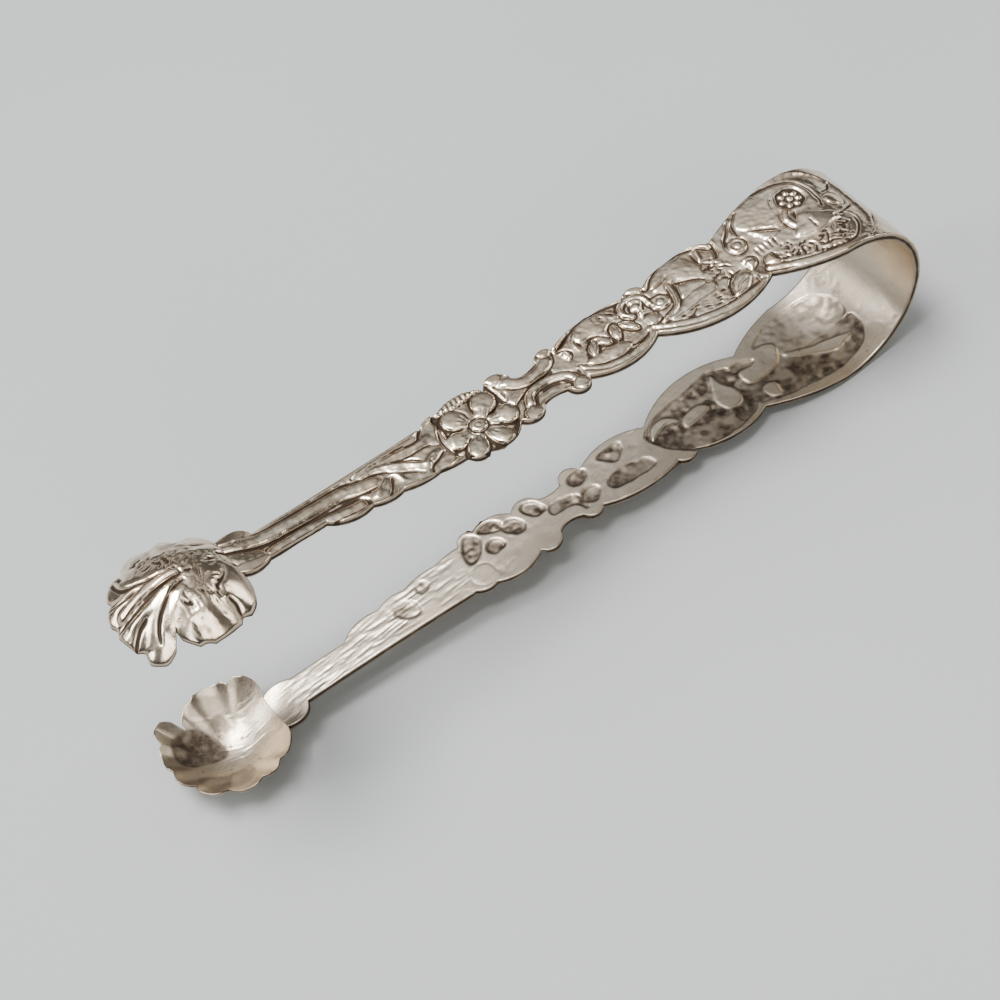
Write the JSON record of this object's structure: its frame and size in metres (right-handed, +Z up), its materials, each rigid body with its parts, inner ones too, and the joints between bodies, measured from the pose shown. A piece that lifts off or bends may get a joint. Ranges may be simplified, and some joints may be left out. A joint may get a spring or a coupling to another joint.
{
  "type": "spring tongs",
  "caption": "Small U-shaped spring tongs for sugar or ice lumps, with ornamented arms, a plain springy bow and lobed shell bowls.",
  "frame": {"origin": "on the table, under the middle of the tongs' box, as they lie on the lower arm", "axes": "+X along the arms from the bowls to the bow, +Y across the strip, +Z up from the table and the lower arm to the upper arm"},
  "size_m": [0.103, 0.0174, 0.0384],
  "materials": {
    "silver": "worn satin silver with dark tarnish in the recesses"
  },
  "bodies": {
    "lower_arm": {"lower_bow_half": "silver", "lower_cartouche_panel": "silver", "lower_flower_panel": "silver", "lower_stem": "silver", "lower_shell_bowl": "silver"},
    "upper_arm": {"upper_bow_half": "silver", "upper_cartouche_panel": "silver", "upper_flower_panel": "silver", "upper_stem": "silver", "upper_shell_bowl": "silver"}
  },
  "joints": [
    {"name": "bow_flex", "type": "hinge", "parent": "lower_arm", "child": "upper_arm", "pos_m": [0.05046, 0, 0.01025], "axis": [0, -1, 0], "range_deg": [0, 16.1], "stiffness_Nm_per_rad": 2.5}
  ]
}
